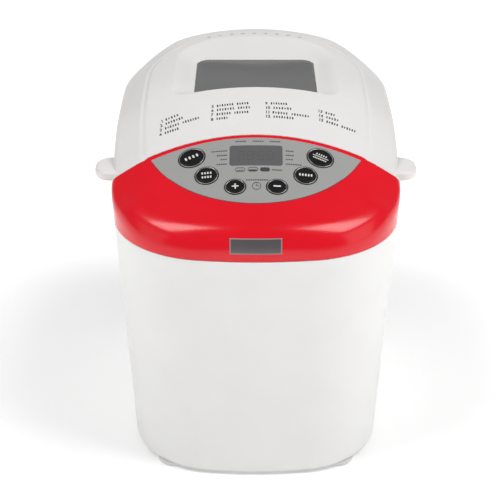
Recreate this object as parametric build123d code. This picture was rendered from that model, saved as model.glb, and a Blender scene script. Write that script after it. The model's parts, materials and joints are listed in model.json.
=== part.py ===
from build123d import *
import math
import os

os.makedirs("parts", exist_ok=True)

# ---------------------------------------------------------------- dimensions
# millimetres, +Z up, front of the machine towards -Y.  The shapes are drawn
# with the front-most point of the casing at y = 0 and are moved by -Y_MID
# when they are written, so that the origin is at the middle of the base.
HALF_W = 128.0          # half width of the casing at the lid seam
DEPTH = 332.0           # casing depth, front to back, at the lid seam
R_FRONT, R_FCORNER = 380.0, 90.0   # plan radii of the front
R_REAR, R_RCORNER = 300.0, 95.0    # plan radii of the back
Z_BASE = 5.0            # lower edge of the casing
Z_SEAM = 258.0          # lower edge of the lid
Z_FASCIA = 231.0        # lower edge of the red fascia
DRAFT = math.tan(math.radians(2.85))
WALL = 2.5
GAP = 0.5               # visible seams
CROWN = 770.0           # crown: z falls by x*x / CROWN
SLOPE = 0.465           # slope of the control area (rise over run)
# height of the centre line of the top, from front to back
PROFILE = [(-6, 249.5), (10, 257.5), (25, 264.5), (60, 280.8), (105, 301.7), (126, 311.3), (145, 319.2),
           (163, 323.6), (200, 326.0), (250, 326.4), (300, 325.8), (320, 324.0), (333, 318.0), (345, 309.0)]
Y_FASCIA = 92.5         # rear edge of the fascia at its sides
FASCIA_X, FASCIA_ARC = 101.0, 105.5   # the fascia's rear edge bows back to here
PANEL_X, PANEL_TIP, PANEL_FRONT, PANEL_REAR = 92.0, 90.6, 35.0, 102.9
# keys: x, y, half width, half height, turn in the plane of the panel
KEYS = {"menu_button": (-55.9, 85.3, 12.3, 11.0, 20), "loaf_size_button": (-42.5, 65.3, 10.6, 10.2, 0),
        "plus_button": (-17.8, 52.0, 9.5, 8.8, 0), "minus_button": (17.8, 52.0, 9.5, 8.8, 0),
        "crust_button": (42.5, 65.3, 10.6, 10.2, 0), "start_stop_button": (55.9, 85.3, 12.3, 11.0, -20)}
KEY_TRAVEL = 1.0
LCD_W, LCD_Y0, LCD_Y1 = 46.0, 73.4, 94.4
# window in the lid
WIN_X, WIN_Y0, WIN_Y1 = 56.0, 175.0, 273.0
REC_X, REC_Y0, REC_Y1 = 77.0, 164.0, 303.0
Z_REC = 312.0
# lifting tabs
TAB_X, TAB_Y0, TAB_Y1, TAB_Z0, TAB_Z1 = 144.0, 95.5, 132.0, 261.0, 270.0
# hinge
HINGE_Y, HINGE_Z, HINGE_X, KNUCKLE_R, PIN_R = 337.0, 258.0, 62.0, 6.0, 2.5
# oven chamber
CH_Y, CH_HX, CH_HY, CH_R = 209.0, 103.0, 87.0, 40.0
CH_Z0, CH_Z1, SHEET = 62.0, 250.0, 1.0
DECK_Z = 253.0
# pan
PAN_HX, PAN_HY, PAN_Z0, PAN_Z1, PAN_T = 80.0, 64.0, 80.0, 212.0, 1.6
HANDLE_ARM, HANDLE_R, PIVOT_Z = 66.5, 2.2, 206.0
HANDLE_REST = math.degrees(math.asin((PAN_Z1 + HANDLE_R + 0.5 - PIVOT_Z) / HANDLE_ARM))
# drive
MOTOR_Y, R_SMALL, R_LARGE, SHAFT_R, MSHAFT_R = 66.0, 10.0, 45.0, 5.0, 4.0
Y_MID = 171.65          # half of the overall depth


# ------------------------------------------------------------------- helpers
def cyl(x, y, z0, z1, r):
    return Pos(x, y, (z0 + z1) / 2) * Cylinder(r, z1 - z0)


def cylx(x0, x1, y, z, r):
    return Pos((x0 + x1) / 2, y, z) * Rot(0, 90, 0) * Cylinder(r, abs(x1 - x0))


def block(x0, x1, y0, y1, z0, z1):
    return Pos((x0 + x1) / 2, (y0 + y1) / 2, (z0 + z1) / 2) * Box(x1 - x0, y1 - y0, z1 - z0)


def ring(x, y, z0, z1, ro, ri):
    return cyl(x, y, z0, z1, ro) - cyl(x, y, z0 - 1, z1 + 1, ri)


def rrect(hx, y0, y1, r, z):
    return Pos(0, (y0 + y1) / 2, z) * RectangleRounded(2 * hx, y1 - y0, r)


def rbox(hx, y0, y1, r, z0, z1):
    return extrude(rrect(hx, y0, y1, r, z0), amount=z1 - z0)


def outline(off, z):
    """Plan of the casing, moved inwards by off: arcs and two straight sides."""
    def corner(rc, rb):
        cx = HALF_W - rc
        return cx, math.sqrt((rb - rc) ** 2 - cx ** 2)
    cx, k = corner(R_FCORNER, R_FRONT)
    fy = R_FRONT - k
    a = math.atan2(cx, k)
    rx, m = corner(R_RCORNER, R_REAR)
    ry = DEPTH - R_REAR + m
    b = math.atan2(rx, m)

    def on(cx_, cy_, r, t, s):
        return (s * (cx_ + r * math.sin(t)), cy_ - r * math.cos(t), z)
    t1 = lambda s: on(0, R_FRONT, R_FRONT - off, a, s)
    f2 = lambda s: on(cx, fy, R_FCORNER - off, math.pi / 2, s)
    fm = lambda s: on(cx, fy, R_FCORNER - off, (a + math.pi / 2) / 2, s)
    r1 = lambda s: on(rx, ry, R_RCORNER - off, math.pi / 2, s)
    rm = lambda s: on(rx, ry, R_RCORNER - off, (math.pi / 2 + math.pi - b) / 2, s)
    r2 = lambda s: on(rx, ry, R_RCORNER - off, math.pi - b, s)
    e = [ThreePointArc(t1(-1), (0, off, z), t1(1)), ThreePointArc(t1(1), fm(1), f2(1)), Line(f2(1), r1(1)),
         ThreePointArc(r1(1), rm(1), r2(1)), ThreePointArc(r2(1), (0, DEPTH - off, z), r2(-1)),
         ThreePointArc(r2(-1), rm(-1), r1(-1)), Line(r1(-1), f2(-1)), ThreePointArc(f2(-1), fm(-1), t1(-1))]
    return Face(Wire(e))


def prism(t, z0, z1):
    """Drafted wall of the casing, moved inwards by t."""
    low = max(z0, Z_BASE - 6)
    body = loft([outline((Z_SEAM - low) * DRAFT + t, low), outline(t, Z_SEAM)], ruled=True)
    if z1 > Z_SEAM:
        body = body + extrude(outline(t, Z_SEAM), amount=z1 - Z_SEAM, dir=(0, 0, 1))
    return body


def crown(t):
    """Crowned top with sloping shoulders, moved inwards by t."""
    faces = []
    for y, z in PROFILE:
        z -= t
        h, w = 102.0, HALF_W + 0.8 - t
        p = [(-w, -40), (-w, z - 80), (-126.5 + t, z - 36), (-119 + 0.6 * t, z - 24.5), (-h, z - h * h / CROWN)]
        q = [(-x, zz) for x, zz in reversed(p)]
        v = lambda c: (c[0], y, c[1])
        e = [Line(v(p[0]), v(p[1])), Line(v(p[1]), v(p[2])),
             ThreePointArc(v(p[2]), (-124.2 + 0.9 * t, y, z - 29.4), v(p[3])), Line(v(p[3]), v(p[4])),
             ThreePointArc(v(p[4]), (0, y, z), v(q[0])), Line(v(q[0]), v(q[1])),
             ThreePointArc(v(q[1]), (124.2 - 0.9 * t, y, z - 29.4), v(q[2])), Line(v(q[2]), v(q[3])),
             Line(v(q[3]), v(q[4])), Line(v(q[4]), v(p[0]))]
        faces.append(Face(Wire(e)))
    return loft(faces, ruled=False)


def top_z(x, y):
    return 264.5 + SLOPE * (y - 25.0) - x * x / CROWN


def key_plane(x, y):
    """Plane on the control area at x, y, with its z axis along the outward normal."""
    n = Vector(2 * x / CROWN, -SLOPE, 1).normalized()
    u = Vector(1, 0, -2 * x / CROWN).normalized()
    return Plane(origin=(x, y, top_z(x, y)), x_dir=u, z_dir=n)


def oval(pl, a, b, turn, d0, d1):
    """Upright oval post on a plane, from depth d0 to d1 along its normal."""
    s = pl.offset(d0) * (Rot(0, 0, turn) * Ellipse(a, b))
    return extrude(s, amount=d1 - d0, dir=pl.z_dir)


def front_zone(shift):
    """Plan of everything in front of the lid, its rear edge moved by shift."""
    y = Y_FASCIA + shift
    e = [Line((-170, -30, 0), (170, -30, 0)), Line((170, -30, 0), (170, y, 0)), Line((170, y, 0), (FASCIA_X, y, 0)),
         ThreePointArc((FASCIA_X, y, 0), (0, FASCIA_ARC + shift, 0), (-FASCIA_X, y, 0)),
         Line((-FASCIA_X, y, 0), (-170, y, 0)), Line((-170, y, 0), (-170, -30, 0))]
    return extrude(Face(Wire(e)), amount=400, dir=(0, 0, 1))


def lens(inset):
    """Plan of the grey control panel."""
    x = PANEL_X - 1.6 * inset
    e = [ThreePointArc((-x, PANEL_TIP, 0), (0, PANEL_FRONT + inset, 0), (x, PANEL_TIP, 0)),
         ThreePointArc((x, PANEL_TIP, 0), (0, PANEL_REAR - inset, 0), (-x, PANEL_TIP, 0))]
    return extrude(Face(Wire(e)), amount=400, dir=(0, 0, 1))


def belt_loop(r1, r2, z0, z1):
    """Closed loop of an open belt round two pulleys."""
    d = CH_Y - MOTOR_Y
    a = math.asin((r2 - r1) / d)
    c, s = math.cos(a), math.sin(a)
    e = [ThreePointArc((r1 * c, MOTOR_Y - r1 * s, z0), (0, MOTOR_Y - r1, z0), (-r1 * c, MOTOR_Y - r1 * s, z0)),
         Line((-r1 * c, MOTOR_Y - r1 * s, z0), (-r2 * c, CH_Y - r2 * s, z0)),
         ThreePointArc((-r2 * c, CH_Y - r2 * s, z0), (0, CH_Y + r2, z0), (r2 * c, CH_Y - r2 * s, z0)),
         Line((r2 * c, CH_Y - r2 * s, z0), (r1 * c, MOTOR_Y - r1 * s, z0))]
    return extrude(Face(Wire(e)), amount=z1 - z0, dir=(0, 0, 1))


parts = {}

# ------------------------------------------------------------- outer casing
outer = prism(0, 0, 345) & crown(0)
inner = prism(WALL, 0, 345) & crown(WALL)
skin = outer - inner

gland_x, gland_z = 28.0, 34.0
gland = (Pos(gland_x, 315.5, gland_z) * Rot(90, 0, 0) * Cylinder(6.45, 11)) + (
    Pos(gland_x, 322, gland_z) * Rot(90, 0, 0) * Cylinder(9, 2.4))
gland = gland - Pos(gland_x, 315, gland_z) * Rot(90, 0, 0) * Cylinder(3.6, 40)
shell = skin - block(-200, 200, -50, Y_FASCIA + 1.0, Z_FASCIA - GAP / 2, 400)
shell = shell - block(-200, 200, -50, 500, Z_SEAM - GAP, 400) - block(-200, 200, -50, 500, -50, Z_BASE)
shell = shell - Pos(gland_x, 318, gland_z) * Rot(90, 0, 0) * Cylinder(6.5, 20)
for i in range(7):      # louvres in the back
    x = -84 + i * 9.0
    shell = shell - block(x - 1.6, x + 1.6, 280, 345, 60, 100)
parts["body_shell"] = shell
parts["cord_gland"] = gland

# ------------------------------------------------------------------- fascia
front = front_zone(0)
fascia = (skin & front) - block(-200, 200, -50, 500, -50, Z_FASCIA + GAP / 2)
back_wall = ((inner & front) - front_zone(-WALL)) - block(-200, 200, -50, 500, -50, DECK_Z)
fascia = fascia + back_wall
panel_depth = 1.6
fascia = fascia - (lens(0) - Pos(0, 0, -panel_depth) * outer)
panel = (outer & lens(0.15)) - Pos(0, 0, -panel_depth) * outer
lcd_pl = key_plane(0, (LCD_Y0 + LCD_Y1) / 2)
lcd_h = (LCD_Y1 - LCD_Y0) * math.sqrt(1 + SLOPE ** 2)
lcd_cut = extrude(lcd_pl.offset(-8) * RectangleRounded(LCD_W, lcd_h, 2.5), amount=14, dir=lcd_pl.z_dir)
lcd_hole = extrude(lcd_pl.offset(-8) * RectangleRounded(LCD_W - 3, lcd_h - 3, 2), amount=14, dir=lcd_pl.z_dir)
panel = panel - lcd_cut
fascia = fascia - lcd_hole
for x, y, a, b, turn in KEYS.values():
    pl = key_plane(x, y)
    hole = oval(pl, a - 1.9, b - 1.9, turn, -9, 6)
    fascia, panel = fascia - hole, panel - hole
parts["control_panel"] = panel
lcd_post = extrude(lcd_pl.offset(-8) * RectangleRounded(LCD_W - 0.3, lcd_h - 0.3, 2.4), amount=14, dir=lcd_pl.z_dir)
parts["lcd_lens"] = ((Pos(0, 0, -0.1) * outer) & lcd_post) - Pos(0, 0, -1.55) * outer
parts["lcd_module"] = extrude(lcd_pl.offset(-9.5) * Rectangle(LCD_W + 6, lcd_h + 6), amount=6, dir=lcd_pl.z_dir)

# keys, their bezels, the switches and the board they sit on
bezels, switches = [], []
board_pl = key_plane(0, 69.0)
board = extrude(board_pl.offset(-17.6) * Pos(0, -4, 0) * RectangleRounded(142, 46, 3), amount=1.6, dir=board_pl.z_dir)
for name, (x, y, a, b, turn) in KEYS.items():
    pl = key_plane(x, y)
    bezels.append(oval(pl, a, b, turn, 0.15, 1.0) - oval(pl, a - 1.9, b - 1.9, turn, -2, 6))
    cap = oval(pl, a - 2.3, b - 2.3, turn, -6.0, 1.2)
    flange = oval(pl, a - 0.9, b - 0.9, turn, -6.0, -4.6)
    cap = cap + flange
    parts[name] = cap
    # switch body from the board up to just under the key
    q = board_pl.to_local_coords(Vector(x, y, top_z(x, y)) - pl.z_dir * 7.7)
    s = extrude(board_pl.offset(-16.0) * Pos(q.X, q.Y, 0) * Rectangle(6, 6), amount=q.Z + 16.0, dir=board_pl.z_dir)
    switches.append(s)
parts["button_bezels"] = Compound(children=[s for s in bezels])
parts["tact_switches"] = Compound(children=[s for s in switches])
posts = None
for sx, sy in ((-60, -22), (60, -22), (-35, 14.5), (35, 14.5)):
    p = extrude(board_pl.offset(-15.95) * Pos(sx, sy, 0) * Circle(2.6), amount=30, dir=board_pl.z_dir) & inner
    posts = p if posts is None else posts + p
parts["front_fascia"] = fascia + posts
parts["control_board"] = board

# ---------------------------------------------------------------------- lid
behind = front_zone(0.6)
lid = (skin - behind) - block(-200, 200, -50, 500, -50, Z_SEAM)
lid_wall = ((inner & front_zone(0.6 + WALL)) - behind) - block(-200, 200, -50, 500, -50, Z_SEAM)
lid = lid + lid_wall


def recess(g, zb):
    low = rrect(WIN_X + 2 + g, WIN_Y0 - 2 - g, WIN_Y1 + 4 + g, 9 + g, zb)
    high = rrect(REC_X + 3 + g, REC_Y0 - 3 - g, REC_Y1 + 4 + g, 44 + g, 332)
    return loft([low, high], ruled=True)


lid = lid + (recess(2.4, Z_REC - 2.4) & outer)
lid = lid - recess(0, Z_REC)
lid = lid - rbox(WIN_X - 5, WIN_Y0 + 5, WIN_Y1 - 5, 5, 300, 320)
for s in (-1, 1):       # lifting tab at each side
    tab = block(110, TAB_X, TAB_Y0, TAB_Y1, TAB_Z0, TAB_Z1)
    tab = fillet(tab.edges().filter_by(Axis.Z).group_by(Axis.X)[-1], 15)
    tab = tab if s > 0 else mirror(tab, about=Plane.YZ)
    lid = lid + (tab - inner)
for i in range(9):      # row of vent holes along the rear rim
    lid = lid - cyl((i - 4) * 12.0, 315 - 0.0022 * ((i - 4) * 12.0) ** 2, 300, 340, 1.6)
for sx in (-1, 1):      # bosses for the liner screws
    for y in (150, 255):
        lid = lid + (cyl(sx * 114, y, 263.25, 330, 3.5) & (Pos(0, 0, -1.2) * outer))
parts["window_glass"] = rbox(WIN_X, WIN_Y0, WIN_Y1, 7, Z_REC, Z_REC + 2.0)
parts["window_frame"] = rbox(WIN_X + 1.9, WIN_Y0 - 1.9, WIN_Y1 + 1.9, 8.9, Z_REC, Z_REC + 1.2) - rbox(
    WIN_X + 0.05, WIN_Y0 - 0.05, WIN_Y1 + 0.05, 7.05, Z_REC - 1, Z_REC + 4)

# metal liner of the lid: an upturned tray with its own small pane
tray = rbox(118.5, 114, 302, 52, 262.0, 263.2) + rbox(102.2, 122.8, 295.2, 39.2, 263.2, 291.2)
tray = tray - rbox(101, 124, 294, 38, 250, 290) - rbox(50, 181, 267, 6, 280, 300)
for sx in (-1, 1):
    for y in (150, 255):
        tray = tray - cyl(sx * 114, y, 255, 270, 1.9)
parts["lid_liner"] = tray
parts["inner_window"] = rbox(56, 175, 273, 7, 291.2, 294.2)
parts["lid_gasket"] = rbox(108.5, 116.5, 301.5, 45.5, 254.3, 262.0) - rbox(103.5, 121.5, 296.5, 40.5, 250, 270)
screws = [cyl(sx * 114, y, 259.75, 261.95, 3.4) + cyl(sx * 114, y, 261.95, 263.15, 1.7)
          for sx in (-1, 1) for y in (150, 255)]
parts["liner_screws"] = Compound(children=screws)

# hinge: brackets on the casing, arms on the lid, pins through both
brackets, arms, pins = [], [], []
for sx in (-1, 1):
    x0 = sx * HINGE_X
    for e in (-1, 1):
        xa, xb = sorted((x0 + e * 8.0, x0 + e * 13.0))
        b = cylx(xa, xb, HINGE_Y, HINGE_Z, KNUCKLE_R) + block(xa, xb, 318, HINGE_Y, 238, HINGE_Z - 0.5)
        b = b + block(xa, xb, 330, HINGE_Y, HINGE_Z - 4, HINGE_Z)
        b = b - cylx(xa - 1, xb + 1, HINGE_Y, HINGE_Z, PIN_R + 0.06) - outer
        b = b - block(xa - 1, xb + 1, HINGE_Y + 0.01, 360, 200, HINGE_Z - KNUCKLE_R)
        brackets.append(b)
    a = cylx(x0 - 7.6, x0 + 7.6, HINGE_Y, HINGE_Z, KNUCKLE_R) + block(x0 - 7.6, x0 + 7.6, 318, HINGE_Y, 258.4, 264)
    a = a - cylx(x0 - 9, x0 + 9, HINGE_Y, HINGE_Z, PIN_R) - outer
    arms.append(a)
    pins.append(cylx(x0 - 14, x0 + 14, HINGE_Y, HINGE_Z, PIN_R))
parts["hinge_brackets"] = Compound(children=brackets)
for a in arms:
    lid = lid + a
parts["lid_shell"] = lid
parts["hinge_pins"] = Compound(children=pins)

# --------------------------------------------------------------------- base
plate_off = (Z_SEAM - Z_BASE) * DRAFT + WALL + 0.3
base = extrude(outline(plate_off, 7.2), amount=3.0, dir=(0, 0, 1))
feet_xy = [(-75.7, 40.8), (75.7, 40.8), (-80, 274), (80, 274)]
posts_xy = [(-70, 44), (70, 44), (-80, 280), (80, 280)]
screw_xy = [(-45, 26), (45, 26), (-96, 150), (96, 150), (-40, 300), (40, 300)]
for x, y in posts_xy:
    base = base + cyl(x * 0.86, y, 10.2, 30.0, 5.0)
for x, y in feet_xy:
    base = base - cyl(x, y, 0, 20, 3.6)
for x, y in screw_xy:
    base = base - cyl(x, y, 0, 20, 2.0)
for x, y in posts_xy:
    base = base - cyl(x * 0.86, y, 22, 31, 1.75)
for i in range(9):
    base = base - block(-36 + i * 9 - 2, -36 + i * 9 + 2, 110, 160, 0, 20)
parts["base_plate"] = base
feet = []
for x, y in feet_xy:
    f = Pos(x, y, 2.35) * Cone(12.0, 13.2, 4.7) + cyl(x, y, 4.7, 7.15, 10.0)
    feet.append(f + cyl(x, y, 7.15, 10.25, 3.5) + cyl(x, y, 10.25, 12.0, 4.6))
parts["rubber_feet"] = Compound(children=feet)
parts["base_screws"] = Compound(children=[cyl(x, y, 5.35, 7.15, 3.4) + cyl(x, y, 7.15, 14.0, 1.8) for x, y in screw_xy])

# ---------------------------------------------------- chassis and chamber
chassis = Pos(0, 158, 30) * extrude(RectangleRounded(190, 256, 36), amount=1.5)
chassis = chassis - cyl(0, CH_Y, 20, 40, 8) - cyl(0, MOTOR_Y, 20, 40, 9)
for x, y in posts_xy:
    chassis = chassis - cyl(x * 0.86, y, 20, 40, 1.75)
for sx in (-26, 26):
    for sy in (-26, 26):
        chassis = chassis - cyl(sx, MOTOR_Y + sy, 20, 40, 2.1)
parts["chassis_plate"] = chassis
parts["chassis_screws"] = Compound(children=[cyl(x * 0.86, y, 31.55, 33.75, 3.3) + cyl(x * 0.86, y, 23, 31.55, 1.6)
                                             for x, y in posts_xy])
legs = []
for sx in (-1, 1):
    for y in (CH_Y - 46, CH_Y + 40):
        x0, x1 = sorted((sx * 68, sx * 70))
        f0, f1 = sorted((sx * 60, sx * 70))
        g0, g1 = sorted((sx * 68, sx * 80))
        legs.append(block(x0, x1, y - 9, y + 9, 31.5, 62.0) + block(f0, f1, y - 9, y + 9, 31.5, 33.0)
                    + block(g0, g1, y - 9, y + 9, 60.5, 62.0))
parts["chamber_brackets"] = Compound(children=legs)
ch = rbox(CH_HX, CH_Y - CH_HY, CH_Y + CH_HY, CH_R, CH_Z0, CH_Z1)
ch = ch + rbox(CH_HX + 6, CH_Y - CH_HY - 6, CH_Y + CH_HY + 6, CH_R + 6, CH_Z1 - SHEET, CH_Z1)
ch = ch - rbox(CH_HX - SHEET, CH_Y - CH_HY + SHEET, CH_Y + CH_HY - SHEET, CH_R - SHEET, CH_Z0 + SHEET, CH_Z1 + 5)
ch = ch - cyl(0, CH_Y, 50, 70, 7.0)
for sx in (-1, 1):
    ch = ch - Pos(sx * 15, CH_Y - CH_HY, 98) * Rot(90, 0, 0) * Cylinder(3.5, 10)
ch = ch - cylx(-110, -95, CH_Y - 30, 140, 4.1)
parts["oven_chamber"] = ch
deck = extrude(outline(WALL + 1.7, CH_Z1), amount=DECK_Z - CH_Z1, dir=(0, 0, 1)) - front_zone(-WALL)
deck = deck - rbox(CH_HX - SHEET, CH_Y - CH_HY + SHEET, CH_Y + CH_HY - SHEET, CH_R - SHEET, 240, 270)
parts["top_deck"] = deck

ey0, ey1, ex, ez = CH_Y - 74, CH_Y + 74, 90.0, 98.0
path = FilletPolyline((15, CH_Y - CH_HY - 12, ez), (15, ey0, ez), (ex, ey0, ez), (ex, ey1, ez), (-ex, ey1, ez),
                      (-ex, ey0, ez), (-15, ey0, ez), (-15, CH_Y - CH_HY - 12, ez), radius=[6, 28, 28, 28, 28, 6])
start = Plane(origin=path @ 0, z_dir=path % 0)
parts["heating_element"] = sweep(start * Circle(3.25), path=path)
clips = []
for x, y in ((CH_HX - SHEET, CH_Y), (-(CH_HX - SHEET), CH_Y)):
    s = 1 if x > 0 else -1
    x0, x1 = sorted((x, s * (ex + 3.25)))
    g0, g1 = sorted((x, s * (ex - 0.5)))
    clips.append(block(x0, x1, y - 5, y + 5, ez - 6, ez + 6) + block(g0, g1, y - 5, y + 5, ez - 6, ez - 3.25))
c = block(-5, 5, ey1 + 3.25, CH_Y + CH_HY - SHEET, ez - 6, ez + 6)
clips.append(c + block(-5, 5, ey1 - 0.5, CH_Y + CH_HY - SHEET, ez - 6, ez - 3.25))
parts["element_clips"] = Compound(children=clips)
parts["temperature_sensor"] = cylx(-112, -93, CH_Y - 30, 140, 4.0) + cylx(-108, -103, CH_Y - 30, 140, 7.0)
parts["pan_socket"] = ring(0, CH_Y, CH_Z0 + SHEET, 76, 37, 30.7) + ring(0, CH_Y, CH_Z0 + SHEET, 66, 44, 31)

# ------------------------------------------------------------- drive train
parts["drive_bearing"] = (cyl(0, CH_Y, 31.5, 57, 13) + cyl(0, CH_Y, 31.5, 34, 22)) - cyl(0, CH_Y, 20, 70, SHAFT_R + 0.05)
parts["drive_shaft"] = cyl(0, CH_Y, 12.5, 66.5, SHAFT_R)
big = cyl(0, CH_Y, 14, 27, R_LARGE) + cyl(0, CH_Y, 14, 15.5, R_LARGE + 3) + cyl(0, CH_Y, 25.5, 27, R_LARGE + 3)
big = big - cyl(0, CH_Y, 0, 40, SHAFT_R)
for i in range(6):
    a = math.radians(60 * i)
    big = big - cyl(27 * math.cos(a), CH_Y + 27 * math.sin(a), 0, 40, 9)
parts["large_pulley"] = big
coup = cyl(0, CH_Y, 64.5, 66.5, 14) - cyl(0, CH_Y, 60, 70, SHAFT_R)
for sx in (-1, 1):
    coup = coup + (block(min(sx * 9, sx * 13), max(sx * 9, sx * 13), CH_Y - 4, CH_Y + 4, 66.5, 72))
parts["drive_coupler"] = coup
parts["drive_belt"] = belt_loop(R_SMALL + 2.8, R_LARGE + 2.8, 16.6, 24.4) - belt_loop(R_SMALL + 0.4, R_LARGE + 0.4, 10, 30)
small = cyl(0, MOTOR_Y, 14, 27, R_SMALL) + cyl(0, MOTOR_Y, 14, 15.5, R_SMALL + 3) + cyl(0, MOTOR_Y, 25.5, 27, R_SMALL + 3)
parts["small_pulley"] = small - cyl(0, MOTOR_Y, 0, 40, MSHAFT_R)
parts["motor_shaft"] = cyl(0, MOTOR_Y, 12.5, 112, MSHAFT_R)
parts["motor_rotor"] = cyl(0, MOTOR_Y, 53, 83, 17.4) - cyl(0, MOTOR_Y, 0, 200, MSHAFT_R)
fan = cyl(0, MOTOR_Y, 100, 109, 8)
for i in range(7):
    a = 360 / 7 * i
    fan = fan + Pos(0, MOTOR_Y, 104) * Rot(0, 0, a) * Pos(16, 0, 0) * Rot(28, 0, 0) * Box(20, 8.5, 1.6)
parts["cooling_fan"] = fan - cyl(0, MOTOR_Y, 0, 200, MSHAFT_R)
stator = block(-31, 31, MOTOR_Y - 31, MOTOR_Y + 31, 52, 84) - cyl(0, MOTOR_Y, 0, 200, 18.2)
low_bell = block(-31, 31, MOTOR_Y - 31, MOTOR_Y + 31, 40, 52) - cyl(0, MOTOR_Y, 45, 60, 20) - cyl(0, MOTOR_Y, 0, 200, MSHAFT_R + 0.05)
top_bell = block(-31, 31, MOTOR_Y - 31, MOTOR_Y + 31, 84, 95) - cyl(0, MOTOR_Y, 80, 90, 20) - cyl(0, MOTOR_Y, 0, 200, MSHAFT_R + 0.05)
bolts, grommets = [], []
for sx in (-26, 26):
    for sy in (-26, 26):
        hole = cyl(sx, MOTOR_Y + sy, 0, 200, 2.1)
        stator, low_bell, top_bell = stator - hole, low_bell - hole, top_bell - hole
        bolts.append(cyl(sx, MOTOR_Y + sy, 27.45, 95.05, 2.0) + cyl(sx, MOTOR_Y + sy, 95.05, 98, 3.6)
                     + cyl(sx, MOTOR_Y + sy, 27.45, 29.95, 3.6))
        grommets.append(ring(sx, MOTOR_Y + sy, 31.5, 40, 4.6, 2.1))
parts["motor_stator"] = stator
parts["motor_end_bells"] = Compound(children=[low_bell, top_bell])
parts["motor_bolts"] = Compound(children=bolts)
parts["motor_grommets"] = Compound(children=grommets)

# -------------------------------------------------------------- electronics
pcb = block(-61, -59.4, 50, 112, 31.5, 112)
parts["power_board"] = pcb
parts["transformer"] = block(-93, -61, 62, 98, 60, 96)
parts["motor_capacitor"] = cyl(62, 62, 34.0, 78, 15) + block(46, 50, 50, 74, 31.5, 60) + block(46, 78, 50, 74, 31.5, 33.5)

# ---------------------------------------------------------------------- pan
def pan_body(g, z0, z1):
    lo = rrect(PAN_HX - 5 - g, CH_Y - PAN_HY + 5 + g, CH_Y + PAN_HY - 5 - g, 20 - g, z0)
    hi = rrect(PAN_HX - g, CH_Y - PAN_HY + g, CH_Y + PAN_HY - g, 22 - g, z1)
    return loft([lo, hi], ruled=True)


pan = pan_body(0, PAN_Z0, PAN_Z1) + rbox(PAN_HX + 4, CH_Y - PAN_HY - 4, CH_Y + PAN_HY + 4, 26, PAN_Z1 - PAN_T, PAN_Z1)
for sx in (-1, 1):
    x0, x1 = sorted((sx * 77, sx * 85.5))
    pan = pan + cylx(x0, x1, CH_Y, PIVOT_Z, 4.3)
pan = pan - pan_body(PAN_T, PAN_Z0 + PAN_T, PAN_Z1 + 0.01) - cyl(0, CH_Y, 60, 100, 9)
pan = pan - rbox(PAN_HX - PAN_T - 0.3, CH_Y - PAN_HY + PAN_T + 0.3, CH_Y + PAN_HY - PAN_T - 0.3, 20, PAN_Z1 - 2, PAN_Z1 + 5)
pan = pan - cylx(-100, 100, CH_Y, PIVOT_Z, HANDLE_R + 0.06)
parts["bread_pan"] = pan
parts["pan_base"] = ring(0, CH_Y, 63.4, PAN_Z0, 30, 26)
parts["pan_bush"] = (cyl(0, CH_Y, 76, 84, 9) + cyl(0, CH_Y, 76, PAN_Z0, 13)) - cyl(0, CH_Y, 60, 100, 4.06)
parts["shaft_seal"] = ring(0, CH_Y, 84, 86.2, 7, 4.08)
h = FilletPolyline((81.0, CH_Y, PIVOT_Z), (89, CH_Y, PIVOT_Z), (89, CH_Y - HANDLE_ARM, PIVOT_Z),
                   (-89, CH_Y - HANDLE_ARM, PIVOT_Z), (-89, CH_Y, PIVOT_Z), (-81.0, CH_Y, PIVOT_Z), radius=[3, 14, 14, 3])
handle = sweep(Plane(origin=h @ 0, z_dir=h % 0) * Circle(HANDLE_R), path=h)
handle = handle.rotate(Axis((0, CH_Y, PIVOT_Z), (1, 0, 0)), -HANDLE_REST)
parts["pan_handle"] = handle

# ------------------------------------------------------------------- paddle
parts["paddle_shaft"] = cyl(0, CH_Y, 67.6, 104, 4.0)
pc = block(-3, 3, CH_Y - 12, CH_Y + 12, 67.6, 71.6) - cyl(0, CH_Y, 60, 90, 4.0)
pc = pc + ring(0, CH_Y, 67.6, 73, 6, 4.0)
parts["pan_coupler"] = pc
hub = cyl(0, CH_Y, 86.8, 108, 9.5)
blade = Polyline((0, 86.8), (44, 86.8), (46, 90), (40, 100), (14, 116), (0, 116), close=True)
blade = extrude(Plane(origin=(0, CH_Y, 0), x_dir=(1, 0, 0), z_dir=(0, -1, 0)) * Face(Wire(blade.edges())), amount=2.5, both=True)
hub = (hub + (blade - cyl(0, CH_Y, 100, 130, 9.5)) + cyl(0, CH_Y, 100, 112, 9.5)) - cyl(0, CH_Y, 80, 104.1, 4.0)
parts["kneading_paddle"] = hub

# -------------------------------------------------------------------- write
for name, shape in parts.items():
    moved = Pos(0, -Y_MID, 0) * shape
    export_step(moved, "parts/%s.step" % name)
print(len(parts), "nodes; handle rests at %.2f deg" % HANDLE_REST)
for name, (x, y, a, b, turn) in KEYS.items():
    n = key_plane(x, y).z_dir
    print(name, [round(v, 5) for v in (-n.X, -n.Y, -n.Z)])
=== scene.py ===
import json
import math

import bmesh
import bpy
import numpy as np
from mathutils import Matrix, Vector


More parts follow.
